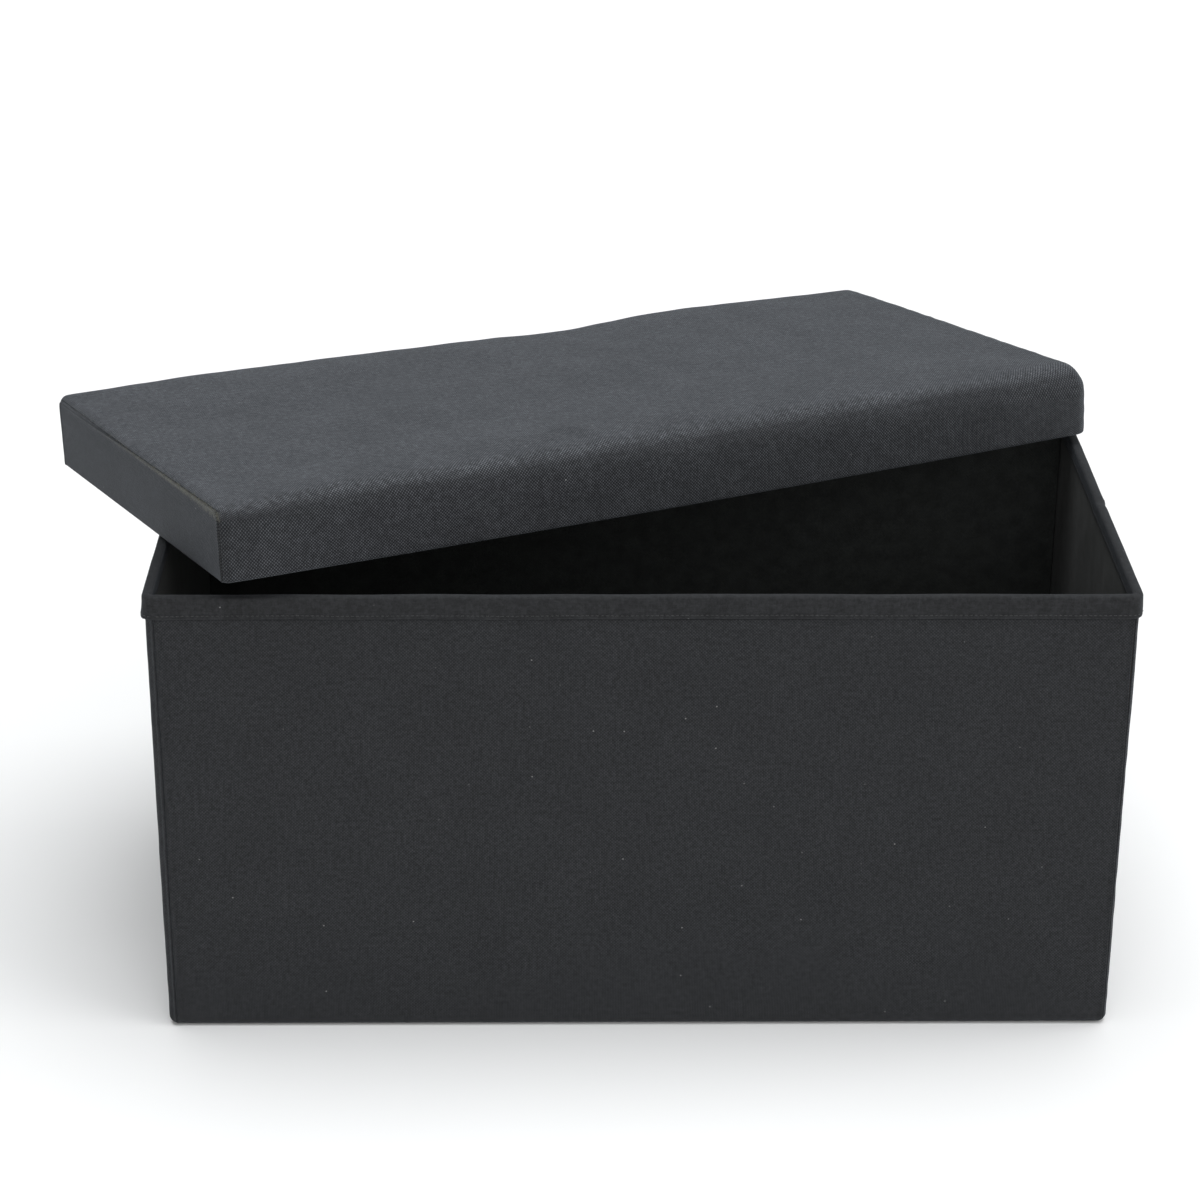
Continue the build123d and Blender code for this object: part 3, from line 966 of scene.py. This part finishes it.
def build_lid_wrap():
    """Front, top and back of the lid's cover in one length, from hem to hem."""
    points, angles = wrap_point_grid()
    held = (points[..., 2] < FOAM_Z) | (angles[None, :] > 0.3)
    points = swell(points, held, 4 * MM)
    points = lid_wear(points)
    build_lid_foam(points, angles)
    x, y, z = np.moveaxis(points, -1, 0)
    from_seam = LID_X - np.abs(x)
    turned = 1 - smooth(angles[None, :], 0.9, 1.0)
    pucker = 0.22 * MM * ripple(y, z, 0.016, 95) * bump(from_seam, 7 * MM, 9 * MM) * turned * (z > SKIRT_T)
    points = points - grid_normals(points) * pucker[..., None]
    wrap = cloth("lid_cover_wrap", points, COVER_CLOTH, flip=True)
    dress(wrap, LID_COVER, "lid", "cover_fabric", "lid_top_cover", "lid_front_cover", "lid_back_cover")


def end_face_grid(side, reach, radius, soft):
    """End panel inside the rounded outline: columns across the lid, rows from the top down to the hem."""
    start = SEAM_ANGLE + 0.02
    inset = radius * (1 - math.cos(start))
    half = LID_Y - inset
    top = LID_H - inset
    curve = soft - inset
    corner = half - curve + curve * np.sin(np.linspace(math.pi / 2, 0, 12))
    flat = graded(-(half - curve), half - curve, 7 * MM, 2 * MM, 6 * MM)
    y = np.unique(np.concatenate([-corner, flat, corner]).round(7))
    over = np.clip(np.abs(y) - (half - curve), 0, curve)
    crest = top - curve + np.sqrt(np.maximum(curve**2 - over**2, 0))
    lip = SKIRT_T / 2
    share = graded(0, 1, 0.06, 0.012, 0.1)[::-1, None]
    z = lip + share * (crest[None, :] - lip)
    yy = np.broadcast_to(y[None, :], z.shape)
    square = np.minimum(LID_Y - np.abs(yy), LID_H - z)
    cy, cz = np.abs(yy) - (LID_Y - soft), z - (LID_H - soft)
    in_corner = (cy > 0) & (cz > 0)
    depth = np.where(in_corner, soft - np.hypot(cy, cz), square)
    deep = np.clip(radius - depth, 0, radius)
    x = reach - radius + np.sqrt(radius**2 - deep**2)
    sunk = 1.9 * MM * (1 - smooth(depth, inset, inset + 1.3 * MM))
    welt = 0.6 * MM * bump(depth, inset + 2.4 * MM, 1.1 * MM) * (1 + 0.3 * ripple(yy, z, 0.012, 94 + side))
    fill = 0.9 * MM * smooth(depth, 8 * MM, 22 * MM) * (1 + 0.35 * ripple(yy, z, 0.08, 97 + side))
    x = x - sunk + welt + fill * smooth(z, 0, 25 * MM)
    return np.stack([side * x, yy, z], -1)


def hem_rows(first, radius, wall):
    """Cloth of an end panel turned under a skirt wall of the given thickness and up inside it."""
    lip = SKIRT_T / 2
    turn = np.linspace(0, math.pi, 9)[1:]
    path = [(wall / 2 * (1 - math.cos(a)), lip - lip * square_turn(a)) for a in turn]
    path += [(wall, z) for z in np.linspace(lip, HEM, 4)[1:]]
    past = np.clip(np.abs(first[:, 1]) - (LID_Y - radius), 0, radius)
    angle = np.arcsin(past / radius)
    rows = []
    for depth, z in path:
        inward = min(depth, radius - 0.5 * MM)
        x = first[:, 0] - np.sign(first[:, 0]) * inward * np.cos(angle)
        y = first[:, 1] - np.sign(first[:, 1]) * inward * np.sin(angle)
        rows.append(np.column_stack([x, y, np.full_like(x, z)]))
    return np.array(rows)


def build_lid_end(name, side, reach, radius):
    """Sewn-in end panel, reach metres out from the lid's middle on one side."""
    points = lid_wear(end_face_grid(side, reach, radius, edge_radius(side * (reach - radius))))
    points = np.concatenate([points, hem_rows(points[-1], radius, SKIRT_T + reach - LID_X)])
    panel = cloth(f"lid_{name}_end_panel", points, COVER_CLOTH, flip=side < 0)
    dress(panel, LID_COVER, "lid", "cover_fabric", f"lid_{name}_cover")


def left_seam_path():
    """Points and outward normals along the left end's seam, from the front over the top to the back."""
    count = 400
    end = LID_X - LEFT_END_R
    points, normals, depths = lid_profile(edge_radius(-end))
    keep = depths == 0
    run = distances(points[keep])
    at = np.linspace(0, run[-1], count)
    points = at_distances(at, run, points[keep])
    normals = at_distances(at, run, normals[keep])
    flat = points - LEFT_END_R * (1 - math.cos(SEAM_ANGLE)) * normals
    x = -(end + LEFT_END_R * math.sin(SEAM_ANGLE))
    path = np.column_stack([np.full(count, x), flat])
    out = np.column_stack([np.full(count, -math.sin(SEAM_ANGLE)), math.cos(SEAM_ANGLE) * normals])
    return lid_wear(path), out


def frayed_seam():
    """Loose yarn ends along the left end's seam, thickest towards the front corner."""
    path, out = left_seam_path()
    rng = np.random.default_rng(120)
    run = np.gradient(path, axis=0)
    run = run / np.linalg.norm(run, axis=1, keepdims=True)
    top = np.flatnonzero(path[:, 2] > LID_H - 12 * MM)
    weight = np.clip(1.15 - (path[top, 1] + LID_Y) / (1.5 * LID_Y), 0.06, 1)
    thickness = 0.13 * MM * np.array([0.6, 1, 1, 0.8, 0.3])
    t = np.linspace(0, 1, len(thickness))[:, None]
    yarns = []
    for i in rng.choice(top, 150, p=weight / weight.sum()):
        side = np.cross(run[i], out[i])
        length = rng.uniform(1.0, 3.4) * MM
        heading = run[i] * rng.uniform(-1, 1) - side * rng.uniform(-0.2, 1.0)
        heading = heading + out[i] * rng.uniform(-0.05, 0.25)
        heading = heading / np.linalg.norm(heading)
        start = path[i] + run[i] * rng.uniform(-1, 1) * MM - out[i] * 0.1 * MM
        line = start + heading * length * t + out[i] * (0.35 * MM * np.sin(math.pi * t) - 0.25 * MM * t)
        yarns.append(tube(line, thickness, 5, np.broadcast_to(out[i], line.shape)))
    dress(joined("lid_frayed_yarns", yarns), FRAYED, "lid", "cover_fabric")


def build_lid_cover():
    """The long wrap, an end panel sewn in at each end, and loose yarns in the left seam."""
    build_lid_wrap()
    build_lid_end("left", -1, LID_X, LEFT_END_R)
    build_lid_end("right", 1, LID_X + RIGHT_PROUD, RIGHT_END_R)
    frayed_seam()


def build_lid_foam(cover, angles):
    """Foam pad that fills the cover above the board."""
    inside = cover + grid_normals(cover) * 2.2 * MM
    rows = np.flatnonzero(inside[:, inside.shape[1] // 2, 2] > FOAM_Z + 1 * MM)
    upper = inside[rows[0]:rows[-1] + 1][:, np.flatnonzero(angles < 0.5)]
    upper[..., 2] = np.maximum(upper[..., 2], FOAM_Z + 0.4 * MM)
    lower = upper.copy()
    lower[..., 2] = FOAM_Z + 0.1 * MM
    uv = np.tile(upper[..., :2].reshape(-1, 2), (2, 1))
    pad = two_layers("lid_foam_pad", upper, lower, uv, flip=True)
    dress(pad, FOAM, "lid", "foam", "lid_foam")


def build_lid_ceiling():
    """Lining glued under the lid's board, seen when the lid is lifted."""
    low, high = lid_box("lid_ceiling_lining")
    x, y = np.meshgrid(*(graded(low[i], high[i], 9 * MM, 1.5 * MM, 9 * MM) for i in (0, 1)))
    edge = np.minimum(high[0] - np.abs(x), high[1] - np.abs(y))
    sag = 0.12 * MM * (1.3 + ripple(x, y, 0.10, 111)) + 0.06 * MM * ripple(x, y, 0.03, 112)
    sag = sag * smooth(edge, 2 * MM, 30 * MM)
    ceiling = cloth("lid_ceiling_panel", np.stack([x, y, CEILING_Z - sag + 0.2 * MM], -1), LINING_CLOTH)
    dress(ceiling, LINING, "lid", "lining_fabric", "lid_ceiling_lining")


def build_skirt_lining():
    """Four strips of lining on the inner faces of the skirt."""
    for side in WALLS:
        reach, half = reach_and_half(side, LID_X - SKIRT_T, LID_Y - SKIRT_T)
        s = graded(-half, half, 9 * MM, 1.5 * MM, 6 * MM)
        ss, zz = np.meshgrid(s, np.linspace(CEILING_Z, HEM - 2 * MM, 12))
        sag = 0.25 * MM * (1.2 + ripple(ss, zz, 0.07, 113)) * smooth(half - np.abs(ss), 0, 15 * MM)
        points = on_wall(side, reach - sag, ss, zz)
        panel = cloth(f"lid_{side}_lining_panel", points, LINING_CLOTH, flip=True)
        dress(panel, LINING, "lid", "lining_fabric", f"lid_{side}_lining")


def hem_stitches():
    """Stitching of the skirt's hem, on its inner face."""
    face = SKIRT_T + 0.1 * MM
    for number, side in enumerate(WALLS, 1):
        reach, half = reach_and_half(side, LID_X - face, LID_Y - face)
        s = np.linspace(-half + 4 * MM, half - 4 * MM, 120)
        path = on_wall(side, reach, s, np.full_like(s, HEM - 2.5 * MM))
        nx, ny = WALLS[side]
        row = stitches(f"lid_hem_stitches_{number}", path, (-nx, -ny, 0))
        dress(row, THREAD, "lid", "cover_fabric")


# ---- stage
def build_stage():
    """Pale floor, far wider than the view."""
    reach = 30.0
    corners = [(-reach, -reach, 0), (reach, -reach, 0), (reach, reach, 0), (-reach, reach, 0)]
    floor = make_mesh("floor", corners, [(0, 1, 2, 3)])
    floor.data.materials.append(Shader("pale_floor", 0.9, 0.1).finish((0.86, 0.86, 0.86, 1)))


def sun(name, direction, strength, angle, colour=(1, 1, 1)):
    """Soft light that comes from a direction."""
    light = bpy.data.lights.new(name, "SUN")
    light.energy = strength
    light.angle = math.radians(angle)
    light.color = colour
    z = np.array(direction) / np.linalg.norm(direction)
    x = np.cross((0, 1, 0), z)
    x = x / np.linalg.norm(x)
    turn = Matrix(np.column_stack([x, np.cross(z, x), z]).tolist())
    add_object(name, light).matrix_world = turn.to_4x4()


def build_lights():
    """Dim surroundings, wide soft light from above and weaker light from the front and the right."""
    world = bpy.data.worlds.new("studio")
    bpy.context.scene.world = world
    world.use_nodes = True
    background = world.node_tree.nodes["Background"]
    background.inputs[0].default_value = (1, 1, 1, 1)
    background.inputs[1].default_value = 0.22
    sun("ceiling_light", (0.05, 0.05, 1.0), 2.5, 55, (0.97, 0.99, 1.0))
    sun("front_light", (0.0, -0.92, 0.4), 1.0, 60)
    sun("right_light", (0.92, -0.1, 0.4), 1.4, 60)


def build_camera():
    """Long lens a little left of centre, looking down on the open box."""
    data = bpy.data.cameras.new("camera")
    data.lens = 92.7
    data.sensor_width = 36.0
    camera = add_object("camera", data)
    bpy.context.scene.camera = camera
    pan, down, roll = -0.836, 24.345, 0.297
    turn = Matrix.Rotation(math.radians(pan), 4, "Z") @ Matrix.Rotation(math.radians(90 - down), 4, "X")
    turn = turn @ Matrix.Rotation(math.radians(roll), 4, "Z")
    camera.matrix_world = Matrix.Translation((-0.0644, -2.3292, 1.3462)) @ turn


def paint_cad_nodes():
    """The boards keep their CAD shape and get fibreboard."""
    for name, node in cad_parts.items():
        if name.endswith("_board") or name == "base_board_core":
            node.data.materials.clear()
            node.data.materials.append(BOARD)


build_camera()
build_lights()
build_stage()
paint_cad_nodes()
build_box_cover()
build_bottom_panel()
build_binding()
binding_stitches()
build_lining()
build_base_board()
build_pull_tab()
build_lid_cover()
build_lid_ceiling()
build_skirt_lining()
hem_stitches()
bpy.context.scene.view_settings.view_transform = "Standard"
